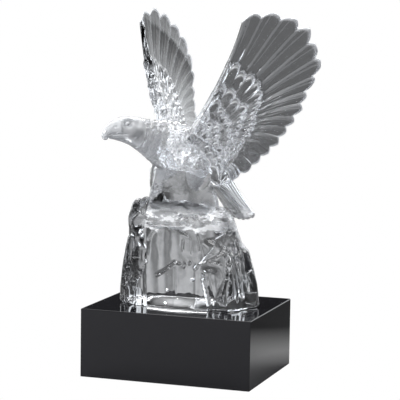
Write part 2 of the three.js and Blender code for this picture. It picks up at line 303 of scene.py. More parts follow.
def limb(stations, across, rounds, cap=0.06, relief=None):
    """A rounded limb along stations of place (x, y, z), half width across and half height in its plane."""
    def place(angle, share):
        centre, direction = along([s[:3] for s in stations], share)
        wide, high = along([(s[3], s[4], 0) for s in stations], share)[0][:2]
        direction.normalize()
        side = Vector((0, 1, 0))
        side = (side - direction * direction.y).normalized()
        rise = direction.cross(side)
        round_off = math.sqrt(max(0, 1 - (1 - min(1, share / cap, (1 - share) / cap)) ** 2))
        out = side * math.cos(angle) * wide + rise * math.sin(angle) * high
        point = centre + out * round_off
        if relief:
            point += out.normalized() * relief(point, angle, share) * round_off
        return point
    return ball(across, rounds, place)


def in_middle(station, side=0):
    """A station of the eagle's middle plane as limb reads it."""
    x, z, high, wide = station
    return (x, side, z, wide, high)


def scales(a, b, depth):
    """Overlapping rounded scales on two counts, one along and one across the plumage."""
    row = math.floor(a)
    across = from_shaft(b + (row % 2) / 2)
    edge = 1 - 0.35 * across ** 2
    back = a - row
    height = back / edge if back < edge else 1 - (back - edge) / max(1 - edge, 0.02)
    return depth * (smooth(height, 0, 1) - 0.5) * (1 - 0.3 * across ** 2)


def bulge(point, centre, size, amount):
    """A soft swelling, or a dent where amount is negative, of an oval patch."""
    away = sum(((p - c) / s) ** 2 for p, c, s in zip(point, centre, size))
    return amount * max(0, 1 - away) ** 2


def body_relief(point, angle, share):
    """Brows, eye sockets, gape and plumage of the body and head."""
    mirrored = Vector((point.x, abs(point.y), point.z))
    lift = sum(bulge(mirrored, *form) for form in HEAD_FORMS)
    plumage = smooth(point.x, 46, 36)
    lift += plumage * scales(share * 26, angle * 13 / math.tau, 0.45)
    # A groove 0.7 mm deep runs round the eye, 2.5 mm from its middle.
    from_eye = (mirrored - Vector(EYE["ring"])).length
    lift -= 0.7 * max(0, 1 - abs(from_eye - 2.5) / 0.9)
    return lift + plumage * 0.5 * noise.noise(point * 0.45) + 0.25 * noise.noise(point * 0.12)


def feather_tip(number):
    """Tip of the feather with this number, counted from the wing's leading edge."""
    def on_arc(n):
        angle = math.radians(TIP_ARC["first"] + TIP_ARC["step"] * n)
        turn = Vector((math.cos(angle), math.sin(angle)))
        return Vector(TIP_ARC["centre"]) + TIP_ARC["radius"] * turn
    last = PRIMARIES - 1
    if number <= last:
        return on_arc(number)
    share = (number - last) / (FEATHERS - last)
    swell = 4 * LAST_BULGE * share * (1 - share) / 1.41
    return on_arc(last).lerp(Vector(LAST_TIP), share) + Vector((swell, -swell))


# Places of the columns across one feather, close together at its shaft and where two feathers meet,
# and rows of points along a covert and along the flight feathers past them.
VANE = (0, 0.06, 0.16, 0.32, 0.45, 0.5, 0.55, 0.68, 0.84, 0.94)
ROW_STEPS = 6
FLIGHT_STEPS = 26
# Share of the wing's length over which a covert falls away at its end.
COVERT_FALL = 0.016
# Rough length and width of a flight feather, for distances from the wing's rim, and how far the rim
# is rounded.
FLIGHT_LENGTH = 62
FLIGHT_WIDTH = 5
RIM_WIDTH = 0.8
# Frost on the ends of the coverts and on the rim, and how much the rim's fades in a millimetre.
COVERT_FROST = 1.7
RIM_FROST = 2.2
RIM_FADE = 1.5


def feather_at(column):
    """Count of feathers up to a column of points."""
    return column // len(VANE) + VANE[column % len(VANE)]


def uneven(number, seed):
    """A fixed uneven value from -1 to 1 for a feather."""
    return 2 * noise.noise(Vector((number * 0.83 + 0.4, seed * 1.7 + 0.3, 0.5)))


def wing_levels(side, feather, groove, relief):
    """Share along the feather, relief, groove and frost at each row of the wing's points."""
    levels = [(0, 0, 0, 0)]
    before = 0
    for row, (end, height, wide) in enumerate(COVERT_ROWS):
        count = feather / wide + (row % 2) / 2
        across = from_shaft(count)
        arc = 0.055 * (1 - math.sqrt(1 - 0.92 * across ** 2))
        edge = end - arc + 0.02 * uneven(math.floor(count), row + 9 * side)
        for step in range(1, ROW_STEPS + 1):
            part = step / ROW_STEPS
            share = mix(before, edge - COVERT_FALL, part)
            rise = height * relief * part * (1 - 0.6 * across ** 6)
            levels.append((share, rise, 0.2 * groove, 0))
        levels.append((edge - 0.3 * COVERT_FALL, 0.72 * levels[-1][1], 0.2 * groove, COVERT_FROST))
        before = edge + COVERT_FALL
        levels.append((before, -0.1 * height, 0.2 * groove, 0))
    for step in range(1, FLIGHT_STEPS + 1):
        part = 1 - (1 - step / FLIGHT_STEPS) ** 1.35
        levels.append((mix(before, 1, part), 0, groove, 0))
    return levels


def wing(side, lean, sweep, groove, relief):
    """One wing: a thin plate of feathers in relief on both faces."""
    own = WINGS[side]
    back = Vector((-math.cos(sweep), math.sin(sweep), 0))
    outward = Vector((math.sin(sweep), math.cos(sweep), 0))
    up = Vector((0, 0, math.cos(lean))) + outward * math.sin(lean)
    face_way = back.cross(up)
    columns = []
    for column in range(FEATHERS * len(VANE) + 1):
        feather = feather_at(column)
        across = feather / FEATHERS
        root, knee = along(ROOT_LINE, across)[0], along(KNEE_LINE, across)[0]
        length = 1 + 0.012 * uneven(math.floor(feather), 3 * side)
        columns.append((feather, root, knee, feather_tip(feather) * length,
                        wing_levels(side, feather, groove, relief)))
    top = feather_tip(0)

    def place(column, row, face):
        feather, root, knee, tip, levels = columns[column]
        share, rise, cut = levels[row][:3]
        shaft = from_shaft(feather)
        wavy = 0.35 * noise.noise(Vector((feather * 1.9, side * 5, 2.5)))
        share *= 1 - 0.04 * (shaft ** 2 + wavy * (1 - shaft)) * share ** 4
        bend = ((1 - share) ** 2, 2 * share * (1 - share), share ** 2)
        p, q = bend[0] * root + bend[1] * knee + bend[2] * tip
        thin = mix(ROOT_THICKNESS, TIP_THICKNESS, share ** 0.6)
        lead = (EDGE_THICKNESS - TIP_THICKNESS) * math.exp(-feather) * (1 - share ** 3)
        half = (thin + lead) / 2 + rise - own["relief"] * cut * shaft ** 8
        # Past the coverts the vanes are smooth, with a ridge of 0.15 mm along each shaft.
        flight = smooth(share, 0.6, 0.72)
        half += 0.15 * own["relief"] * (1 - min(1, shaft * 10)) * flight
        spot = Vector((p * 0.1, q * 0.1, side * 7 + face))
        half += 0.1 * noise.noise(spot) * (1 - flight)
        half += 0.05 * noise.noise(Vector((feather * 4.5, share * 2.2, side * 7))) * flight
        to_tip, to_rear = (1 - levels[row][0]) * FLIGHT_LENGTH, (FEATHERS - feather) * FLIGHT_WIDTH
        to_rim = max(0, min(to_tip, feather * FLIGHT_WIDTH, to_rear))
        round_off = min(1, 0.8 + 0.2 * (to_rim / RIM_WIDTH) ** 0.75)
        fore = Vector((p, q)).length / top.length
        offset = own["bow"] * math.sin(math.pi * min(1, fore))
        offset += own["twist"] * (p / top.y) * min(1, 1 - 1.4 * q / top.y)
        point = Vector(own["root"]) + back * p + up * q + face_way * (offset + face * half * round_off)
        point.y *= side
        return point

    def frost(column, row):
        feather, levels = columns[column][0], columns[column][4]
        to_rim = min((1 - levels[row][0]) * FLIGHT_LENGTH, (FEATHERS - feather) * FLIGHT_WIDTH)
        on_covert = own["relief"] * min(1, feather * 1.5) * levels[row][3]
        return max(on_covert, RIM_FROST - RIM_FADE * to_rim)
    return plate(len(columns) - 1, len(columns[0][4]) - 1, place, frost)


def shoulder(side):
    """Muscle of the upper arm that the wing grows from, with small plumage on it."""
    tilt = Matrix.Rotation(-0.5, 3, "Y")
    half_sizes = (27, 8.5, 15)
    middle = Vector((1, side * 12, 40))

    def place(angle, share):
        polar = math.pi * (1 - share)
        across, rise = math.cos(angle), math.sin(angle)
        out = Vector((math.cos(polar), math.sin(polar) * across, math.sin(polar) * rise))
        lift = scales(share * 14, angle * 12 / math.tau, 0.5)
        spot = Vector([way * size for way, size in zip(out, half_sizes)]) + out * lift
        return tilt @ spot + middle
    return ball(56, 44, place)


def tail():
    """The fan of tail feathers."""
    root, end = Vector(TAIL["root"]), Vector(TAIL["end"])
    course = end - root
    normal = Vector((-course.y, course.x)).normalized()

    def place(column, row, face):
        feather = feather_at(column)
        shaft = from_shaft(feather)
        across = 2 * feather / TAIL_FEATHERS - 1
        share = row / TAIL_ROWS
        reach = 1 - 0.09 * shaft ** 2 * share ** 3 - 0.1 * across ** 2 * share
        width = mix(*TAIL["half_widths"], share)
        half = mix(*TAIL["thickness"], share ** 0.5) / 2 - 0.5 * shaft ** 6
        # The fan is about 35 mm long, and its rim is rounded over 2.4 mm.
        to_rim = min((1 - share) * 35, (1 - abs(across)) * width)
        half *= math.sqrt(max(0.02, 1 - (1 - min(1, to_rim / 2.4)) ** 2))
        offset = face * half + 3 * across ** 2
        spot = root + course * share * reach - normal * offset
        return Vector((spot.x, across * width, spot.y))

    def frost(column, row):
        # Satin all over, and most at the end.
        return max(0.4, 1.8 - (1 - row / TAIL_ROWS) * 30)
    return plate(TAIL_FEATHERS * len(VANE), TAIL_ROWS, place, frost)


def leg(side):
    """Thigh, shank and four toes with talons of one leg."""
    step = LEG_STEPS[side]
    y = side * LEG_OFFSET

    def plumage(rows, count, depth):
        return lambda point, angle, share: scales(share * rows, angle * count / math.tau, depth)
    forms = []
    for line, across, scaly in ((THIGH, 40, plumage(11, 9, 0.35)), (SHANK, 20, plumage(12, 4, 0.3))):
        stations = [in_middle((s[0] + step, *s[1:]), y) for s in line]
        forms.append(limb(stations, across, across, 0.12, scaly))
    foot = Vector((SHANK[-1][0] + step, y, SHANK[-1][1]))
    for degrees in TOES:
        angle = math.radians(degrees)
        reach = TOE_LENGTH * (0.6 if degrees == 180 else 1)
        way = Vector((math.cos(angle), math.sin(angle), 0))
        toe = [(*(foot + way * reach * far + Vector((0, 0, rise))), TOE_RADIUS * size, TOE_RADIUS * size)
               for far, rise, size in TOE_LINE]
        forms.append(limb(toe, 16, 22, 0.1, lambda point, angle, share: 0.25 * math.sin(share * 26)))
    return forms


def eyes():
    """The two eyeballs."""
    x, y, z = EYE["place"]
    return [sphere(20, 14, EYE["radius"], (x, side * y, z)) for side in (-1, 1)]


def pillar():
    """The mass of crystal between belly and crag."""
    stations = [(x, 0, z, across, half) for x, z, half, across in PILLAR]
    return limb(stations, 72, 40, 0.02, lambda point, angle, share: 0.5 * noise.noise(point * 0.07))


def rib_reach(angle, share):
    """How far ribs and hollows move the crag's side at an angle in degrees and a share of its height."""
    total = 0
    for at, width, turn, low, high, reach in RIBS:
        away = ((angle - at - turn * share + 180) % 360 - 180) / width
        fade = smooth(share, low - 0.08, low + 0.04) * (1 - smooth(share, high - 0.05, high + 0.05))
        total += reach * max(0, 1 - away ** 2) * fade
    return total


# Gouges in the crag's side: ends as angle in degrees and share of height, half width and depth.
GOUGES = [
    ((-107, 0.34), (-90, 0.48), 1.2, 1.8), ((-90, 0.48), (-84, 0.47), 1.0, 1.5),
    ((-80.5, 0.44), (-79.5, 0.47), 1.0, 2.2), ((-75, 0.47), (-73.5, 0.49), 0.9, 2.0),
    ((-70, 0.43), (-67.5, 0.46), 1.4, 3.0), ((-55, 0.51), (-46, 0.49), 1.0, 2.4),
    ((-123, 0.47), (-118, 0.47), 0.8, 1.8), ((-63, 0.31), (-58, 0.02), 1.8, 4.0),
    ((-38, 0.52), (-52, 0.04), 1.6, 2.0), ((-33, 0.66), (-43, 0.04), 1.7, 2.4),
    ((-30, 0.62), (-33, 0.04), 1.5, 2.0), ((-22, 0.66), (-23, 0.04), 1.6, 2.4),
    ((-13, 0.68), (-10, 0.05), 1.6, 2.2), ((-129, 0.72), (-126, 0.44), 1.7, 3.4),
    ((-126, 0.44), (-136, 0.24), 1.6, 3.2), ((-136, 0.24), (-134, 0.02), 1.6, 3.2),
    ((-143, 0.8), (-141, 0.32), 1.5, 3.0), ((-152, 0.72), (-150, 0.3), 1.5, 3.0),
    ((-148, 0.34), (-147, 0.03), 1.5, 2.6), ((-135, 0.9), (-136, 0.5), 1.5, 3.0),
    ((-90, 0.42), (-90, 0.03), 1.2, 0.5), ((-70, 0.4), (-72, 0.03), 1.2, 0.6),
    ((-106, 0.88), (-118, 0.7), 1.2, 1.0), ((-102, 0.88), (-74, 0.76), 1.3, 1.2),
    ((-64, 0.76), (-64, 0.6), 0.9, 0.7), ((-72, 0.72), (-72, 0.58), 1.0, 0.7),
    ((-80, 0.7), (-81, 0.61), 1.1, 0.7),
]

# The slanting flat facet on the crag's front: corners as angle in degrees and share of height, and
# how deep it is cut.
FACET = [(-66, 0.47), (-43, 0.73), (-28, 0.78), (-38, 0.61)]
FACET_DEPTH = 2.4

# Angles at which the claws of the left foot grip the rim of the ledge.
CLAWS = [-117, -109, -100]


def on_side(angle, share):
    """A place on the crag's side unrolled flat, at 0.7 mm to a degree, from its angle and share."""
    return Vector((angle * 0.7, share * CRAG_HEIGHT))


def gouge_depth(angle, share):
    """Depth of the gouges and of the facet at a point of the crag's side."""
    depth = 0
    spot = on_side(angle, share)
    for start, end, width, deep in GOUGES:
        a, b = on_side(*start), on_side(*end)
        run = b - a
        t = min(1, max(0, (spot - a).dot(run) / run.length_squared))
        away = (spot - a - run * t).length / width
        depth += deep * max(0, 1 - away) ** 1.3
    corners = [on_side(*corner) for corner in FACET]
    inside = math.inf
    for a, b in zip(corners, corners[1:] + corners[:1]):
        run = b - a
        inside = min(inside, (run.y * (spot.x - a.x) - run.x * (spot.y - a.y)) / run.length)
    return depth + FACET_DEPTH * smooth(inside, -0.5, 0.5)


def crag():
    """The crag: a ribbed, gouged rock with an uneven ledge."""
    # The side lies between these shares of the way from pole to pole.
    bottom, rim = 0.12, 0.86

    def place(angle, share):
        # More columns in front, where the gouges are fine.
        angle -= 0.5 * math.sin(angle + 1.3)
        up = min(1, max(0, (share - bottom) / (rim - bottom)))
        radius = min(1, share / bottom, (1 - share) / (1 - rim))
        taper = up ** TAPER_POWER
        degrees = (math.degrees(angle) + 180) % 360 - 180
        length, depth = [mix(foot, top, taper) / 2 for foot, top in zip(FOOT_SIZE, LEDGE_SIZE)]
        reach = rib_reach(degrees, up) - gouge_depth(degrees, up)
        # The back is uneven columns. The side rounds in by 5 mm to the ledge and 0.9 mm at the foot.
        behind = smooth(math.sin(angle), -0.1, 0.5)
        reach += behind * 1.1 * noise.noise(Vector((degrees * 0.1, up * 1.6, 4)))
        reach -= 5 * smooth(up, 0.86, 1) ** 2 + 0.9 * (1 - smooth(up, 0, 0.025))
        rise = smooth(up, 0.93, 1) * LEDGE_RISE * radius * math.sin(3 * angle + 1)
        spot = Vector((
            LEDGE_SHIFT * taper + radius * (length + reach) * math.cos(angle),
            radius * (depth + reach) * math.sin(angle),
            BLOCK_TOP + BED + CRAG_HEIGHT * up + rise,
        ))
        # Long shallow runs down the side, a finer grain, and lumps on the ledge.
        rough = 0.8 * noise.noise(Vector((spot.x * 0.09, spot.y * 0.09, spot.z * 0.035)))
        rough += 0.15 * noise.noise(spot * 0.2)
        lumps = smooth(up, 0.84, 0.97) * (1.8 * noise.noise(spot * 0.12) + 1.1 * noise.noise(spot * 0.3))
        side = smooth(share, bottom, bottom + 0.03)
        way = Vector((math.cos(angle), math.sin(angle), 0))
        return spot + way * (rough + 0.7 * lumps * (up < 1)) * side + Vector((0, 0, lumps))
    return ball(232, 118, place)


def claws():
    """Three claws that grip the front rim of the ledge."""
    half_length, half_depth = [size / 2 for size in LEDGE_SIZE]
    forms = []
    for angle in CLAWS:
        turn = math.radians(angle)
        # Share of the way to the rim, height over the ledge and radius.
        course = [(0.7, 1.5, 2.6), (0.86, 3.4, 3), (0.98, 1.2, 2.5), (1.02, -4, 1.6), (1.02, -8, 0.5)]
        line = [(LEDGE_SHIFT + half_length * far * math.cos(turn), half_depth * far * math.sin(turn),
                 LEDGE + up, size, size) for far, up, size in course]
        forms.append(limb(line, 18, 24, 0.1, lambda point, a, share: 0.3 * math.sin(share * 30)))
    return forms


def knobs():
    """Knobs of rock along the ledge's left end."""
    forms = []
    for (x, y), (a, b, c), top in KNOBS:
        form = sphere(36, 28, 1)
        for vertex in form.verts:
            out = vertex.co.copy()
            spot = Vector((x + out.x * a, y + out.y * b, LEDGE + top - c + out.z * c))
            vertex.co = spot + out * 1.1 * noise.noise(spot * 0.16)
        forms.append(form)
    return forms


def bubbles():
    """Two air bubbles sealed in the crag."""
    return [sphere(32, 20, radius, place) for place, radius in BUBBLES]


def to_world(form, heading):
    """Places a form of the eagle's own frame on the ledge."""
    place = Matrix.Translation((0, 0, LEDGE)) @ Matrix.Rotation(heading, 4, "Z")
    bmesh.ops.transform(form, matrix=place, verts=form.verts)


def finish_piece(form, name, material, node, sharp_angle):
    """Turns a form in millimetres into a finished object in metres that rides on the root."""
    bmesh.ops.scale(form, vec=(MM, MM, MM), verts=form.verts)
    mesh = bpy.data.meshes.new(name)
    form.to_mesh(mesh)
    form.free()
    mesh.materials.append(material)
    mesh.polygons.foreach_set("use_smooth", [True] * len(mesh.polygons))
    mesh.set_sharp_from_angle(angle=sharp_angle)
    piece = bpy.data.objects.new(name, mesh)
    bpy.context.scene.collection.objects.link(piece)
    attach(piece, "root")
    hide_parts(node)


def joined(forms, hollows):
    """One closed form from several that overlap, with hollows sealed inside it."""
    collection = bpy.data.collections.new("parts_to_join")
    bpy.context.scene.collection.children.link(collection)
    objects = []
    for number, form in enumerate([*forms, *hollows]):
        mesh = bpy.data.meshes.new("part_to_join_%d" % number)
        form.to_mesh(mesh)
        form.free()
        objects.append(bpy.data.objects.new(mesh.name, mesh))
    first, rest = objects[0], objects[1:]
    bpy.context.scene.collection.objects.link(first)
    for number, other in enumerate(rest, 1):
        collection.objects.link(other)
        modifier = first.modifiers.new("join", "BOOLEAN")
        modifier.operation = "UNION" if number < len(forms) else "DIFFERENCE"
        modifier.solver = "MANIFOLD"
        modifier.object = other
    depsgraph = bpy.context.evaluated_depsgraph_get()
    result = bmesh.new()
    result.from_mesh(first.evaluated_get(depsgraph).to_mesh())
    first.evaluated_get(depsgraph).to_mesh_clear()
    for part in objects:
        mesh = part.data
        bpy.data.objects.remove(part)
        bpy.data.meshes.remove(mesh)
    bpy.data.collections.remove(collection)
    if not result.faces:
        raise RuntimeError("the joined crystal has no faces")
    return result


def add_node(tree, kind, settings=None, links=None, stops=None):
    """Adds a node with its settings and links; a link is input: (node, output) or input: value.

    stops are a colour ramp's greys, each with its place from -1 to 1.
    """
    node = tree.nodes.new(kind)
    for key, value in (settings or {}).items():
        setattr(node, key, value)
    for key, value in (links or {}).items():
        if isinstance(value, tuple) and len(value) == 2 and isinstance(value[0], bpy.types.Node):
            tree.links.new(value[0].outputs[value[1]], node.inputs[key])
        else:
            node.inputs[key].default_value = value
    if stops:
        points = node.color_ramp.elements
        while len(points) < len(stops):
            points.new(0.5)
        for point, (at, grey) in zip(points, stops):
            point.position = (at + 1) / 2
            point.color = (grey, grey, grey, 1)
    return node


def new_material(name):
    """An empty material and its tree and output."""
    material = bpy.data.materials.new(name)
    material.use_nodes = True
    tree = material.node_tree
    tree.nodes.clear()
    return material, tree, tree.nodes.new("ShaderNodeOutputMaterial")


def clear_crystal(colour):
    """Lead-free crystal, cast in a mould and fire polished."""
    # Clear glass of IOR 1.52. The mould leaves shallow waves about 6 mm apart, which bend what is seen
    # through it. Its fine plumage, covert ends and broken ledge scatter the light and look satin, and
    # the dark adhesive shows where it wets the right part of the underside.
    material, tree, output = new_material("clear_cast_crystal")
    place = add_node(tree, "ShaderNodeTexCoord")
    parts = add_node(tree, "ShaderNodeSeparateXYZ", links={"Vector": (place, "Object")})
    waves = add_node(tree, "ShaderNodeTexNoise", links={
        "Vector": (place, "Object"), "Scale": 1 / (6.25 * MM)})
    # How far a point is from the middle of an oval, which is 1 on its surface.
    from_oval = {}
    for name, middle, tilt, size in (("head", (-42, -42, LEDGE + 57), 0, (24, 18, 18)),
                                     ("trunk", (-6, -10, LEDGE + 34), -21, (38, 26, 24))):
        oval = add_node(tree, "ShaderNodeMapping", {"vector_type": "TEXTURE"}, {
            "Vector": (place, "Object"), "Location": Vector(middle) * MM,
            "Rotation": (0, math.radians(tilt), math.radians(225)), "Scale": Vector(size) * MM})
        from_oval[name] = add_node(tree, "ShaderNodeVectorMath", {"operation": "LENGTH"}, {
            0: (oval, "Vector")})
    # Broken patches, flatter than wide, about 12 mm apart.
    flat = add_node(tree, "ShaderNodeVectorMath", {"operation": "MULTIPLY"}, {
        0: (place, "Object"), 1: (1.0, 1.0, 2.5)})
    patches = add_node(tree, "ShaderNodeTexNoise", links={
        "Vector": (flat, "Vector"), "Scale": 1 / (12.5 * MM), "Detail": 4.0, "Roughness": 0.65})
    level = add_node(tree, "ShaderNodeMath", {"operation": "MULTIPLY_ADD"}, {
        0: (patches, "Fac"), 1: 0.024, 2: (parts, "Z")})
    # Tangled cell edges about 6 mm apart, for the lacy look of the small coverts near the back.
    tangled = add_node(tree, "ShaderNodeVectorMath", {"operation": "MULTIPLY_ADD"}, {
        0: (waves, "Color"), 1: (0.009, 0.009, 0.009), 2: (place, "Object")})
    cells = add_node(tree, "ShaderNodeTexVoronoi", {"feature": "DISTANCE_TO_EDGE"}, {
        "Vector": (tangled, "Vector"), "Scale": 1 / (5.882 * MM)})
    from_back = add_node(tree, "ShaderNodeVectorMath", {"operation": "DISTANCE"}, {
        0: (place, "Object"), 1: Vector((8, 2, LEDGE + 62)) * MM})
    # Each share runs from its first to its last amount between two values.
    foot = LEDGE - CRAG_HEIGHT
    shares = {}
    for name, value, low, high, first, last in (
        ("head", (from_oval["head"], "Value"), 0.6, 1.9, 0.95, 0.0),
        ("breast", (from_oval["trunk"], "Value"), 0.75, 1.15, 0.3, 0.0),
        ("downy", (from_oval["trunk"], "Value"), 1.0, 1.45, 0.55, 0.0),
        ("over", (level, 0), (LEDGE - 2) * MM, (LEDGE + 1) * MM, 0.0, 1.0),
        ("under", (level, 0), (LEDGE + 11) * MM, (LEDGE + 16) * MM, 1.0, 0.0),
        ("inward", (parts, "X"), -32 * MM, -20 * MM, 0.0, 1.0),
        ("broken", (patches, "Fac"), 0.45, 0.55, 0.35, 2.0),
        ("edges", (cells, "Distance"), 0.02, 0.13, 0.8, 0.0),
        ("back", (from_back, "Value"), 30 * MM, 56 * MM, 1.0, 0.0),
        ("above", (parts, "Z"), (foot + 0.05) * MM, (foot + 0.2) * MM, 0.0, 1.0),
        ("left", (parts, "X"), 6 * MM, 14 * MM, 1.0, 0.0),
    ):
        shares[name] = add_node(tree, "ShaderNodeMapRange", links={
            "Value": value, "From Min": low, "From Max": high, "To Min": first, "To Max": last})
    ledge = (shares["over"], 0)
    for name in ("under", "inward", "broken"):
        ledge = (add_node(tree, "ShaderNodeMath", {"operation": "MULTIPLY"}, {
            0: ledge, 1: (shares[name], 0)}), 0)
    lace = add_node(tree, "ShaderNodeMath", {"operation": "MULTIPLY"}, {
        0: (shares["edges"], 0), 1: (shares["back"], 0)})
    marks = add_node(tree, "ShaderNodeAttribute", {"attribute_name": "frost"})
    frost = (shares["head"], 0)
    for other in ((shares["breast"], 0), (marks, "Fac"), (lace, 0), ledge):
        frost = (add_node(tree, "ShaderNodeMath", {"operation": "MAXIMUM"}, {0: frost, 1: other}), 0)
    satin = add_node(tree, "ShaderNodeMapRange", links={"Value": frost, "From Max": 2.0, "To Max": 0.35})
    clear = add_node(tree, "ShaderNodeMapRange", links={
        "Value": frost, "From Max": 2.0, "To Min": 1.0, "To Max": 0.2})
    # Down about 3 mm apart on the trunk, over the waves of the mould.
    down = add_node(tree, "ShaderNodeTexVoronoi", links={
        "Vector": (place, "Object"), "Scale": 1 / (3.333 * MM)})
    on_trunk = add_node(tree, "ShaderNodeMath", {"operation": "MULTIPLY"}, {
        0: (down, "Distance"), 1: (shares["downy"], 0)})
    relief = add_node(tree, "ShaderNodeMath", {"operation": "MULTIPLY_ADD"}, {
        0: (waves, "Fac"), 1: 0.2, 2: (on_trunk, 0)})
    bump = add_node(tree, "ShaderNodeBump", links={
        "Strength": 0.7, "Distance": 0.6 * MM, "Height": (relief, 0)})
    # The underside is wetted by the adhesive to the right, where it is neither above nor left of it.
    free = add_node(tree, "ShaderNodeMath", {"operation": "MAXIMUM"}, {
        0: (shares["above"], 0), 1: (shares["left"], 0)})
    glued = add_node(tree, "ShaderNodeMath", {"operation": "SUBTRACT"}, {0: 1.0, 1: (free, 0)})
    tint = add_node(tree, "ShaderNodeMix", {"data_type": "RGBA"}, {
        0: (free, 0), 6: (*linear(ADHESIVE), 1), 7: (*colour, 1)})
    through = add_node(tree, "ShaderNodeMath", {"operation": "MULTIPLY"}, {0: (clear, 0), 1: (free, 0)})
    haze = add_node(tree, "ShaderNodeMath", {"operation": "MAXIMUM"}, {0: (satin, 0), 1: (glued, 0)})
    # The satin part sends light back, and the clear part lets all of it through.
    white, glass = [add_node(tree, "ShaderNodeBsdfPrincipled", links={
        "Base Color": (tint, 2), "Roughness": (haze, 0), "IOR": 1.52, "Transmission Weight": passes,
        "Normal": (bump, "Normal")}) for passes in (0.0, 1.0)]
    shader = add_node(tree, "ShaderNodeMixShader", links={
        0: (through, 0), 1: (white, 0), 2: (glass, 0)})
    tree.links.new(shader.outputs[0], output.inputs["Surface"])
    return material


def black_crystal(colour):
    """Black crystal, cut and polished."""
    # Opaque black glass with a mirror polish. Handling leaves faint smears that dull the gloss in
    # patches about 22 mm wide.
    material, tree, output = new_material("polished_black_crystal")
    place = add_node(tree, "ShaderNodeTexCoord")
    smears = add_node(tree, "ShaderNodeTexNoise", links={
        "Vector": (place, "Object"), "Scale": 1 / (22.22 * MM), "Detail": 4.0, "Roughness": 0.55})
    dull = add_node(tree, "ShaderNodeMapRange", links={
        "Value": (smears, "Fac"), "From Min": 0.35, "From Max": 0.75, "To Min": 0.02, "To Max": 0.06})
    shader = add_node(tree, "ShaderNodeBsdfPrincipled", links={
        "Base Color": (*colour, 1), "Roughness": (dull, "Result"), "IOR": 1.52})
    tree.links.new(shader.outputs[0], output.inputs["Surface"])
    return material


class EAGLE_OT_crystal(bpy.types.Operator):
    """Build the crystal eagle and the crag as one clear casting"""

    bl_idname = "eagle.crystal"
    bl_label = "Crystal eagle and crag"

    def execute(self, context):
        own = context.scene.crystal_settings
        groove = own.groove / MM
        forms = [
            limb([in_middle(s) for s in BODY_STATIONS], 84, 120, 0.02, body_relief),
            wing(1, own.left_lean, own.left_sweep, groove, own.relief),
            wing(-1, own.right_lean, own.right_sweep, groove, own.relief),
            shoulder(1), shoulder(-1), tail(), pillar(), *leg(1), *leg(-1), *eyes(),
        ]
        for form in forms:
            to_world(form, own.heading)
        whole = joined([*forms, crag(), *knobs(), *claws()], bubbles())
        finish_piece(whole, "cast_crystal_eagle", clear_crystal(own.colour),
                     "crystal_eagle", math.radians(50))
        return {"FINISHED"}


class EAGLE_OT_block(bpy.types.Operator):
    """Build the polished black block"""

    bl_idname = "eagle.block"
    bl_label = "Black crystal block"

    def execute(self, context):
        own = context.scene.block_settings
        low, high = [Vector(corner) / MM for corner in (BLOCK_LOW, BLOCK_HIGH)]
        form = bmesh.new()
        place = Matrix.Translation((low + high) / 2) @ Matrix.Diagonal((*(high - low), 1))
        bmesh.ops.create_cube(form, size=1, matrix=place)
        bmesh.ops.bevel(form, geom=form.edges[:], offset=own.bevel / MM, affect="EDGES", segments=3,
                        profile=0.5, material=-1)
        finish_piece(form, "polished_block", black_crystal(own.colour), "black_block",
                     math.radians(10))
        return {"FINISHED"}


def soft_panel(name, place, aim, size, power):
    """A soft light panel that faces a point."""
    lamp = bpy.data.lights.new(name, "AREA")
    lamp.shape = "RECTANGLE"
    lamp.size, lamp.size_y = size
    lamp.energy = power
    panel = bpy.data.objects.new(name, lamp)
    panel.location = place
    panel.rotation_euler = (Vector(aim) - Vector(place)).to_track_quat("-Z", "Y").to_euler()
    bpy.context.scene.collection.objects.link(panel)


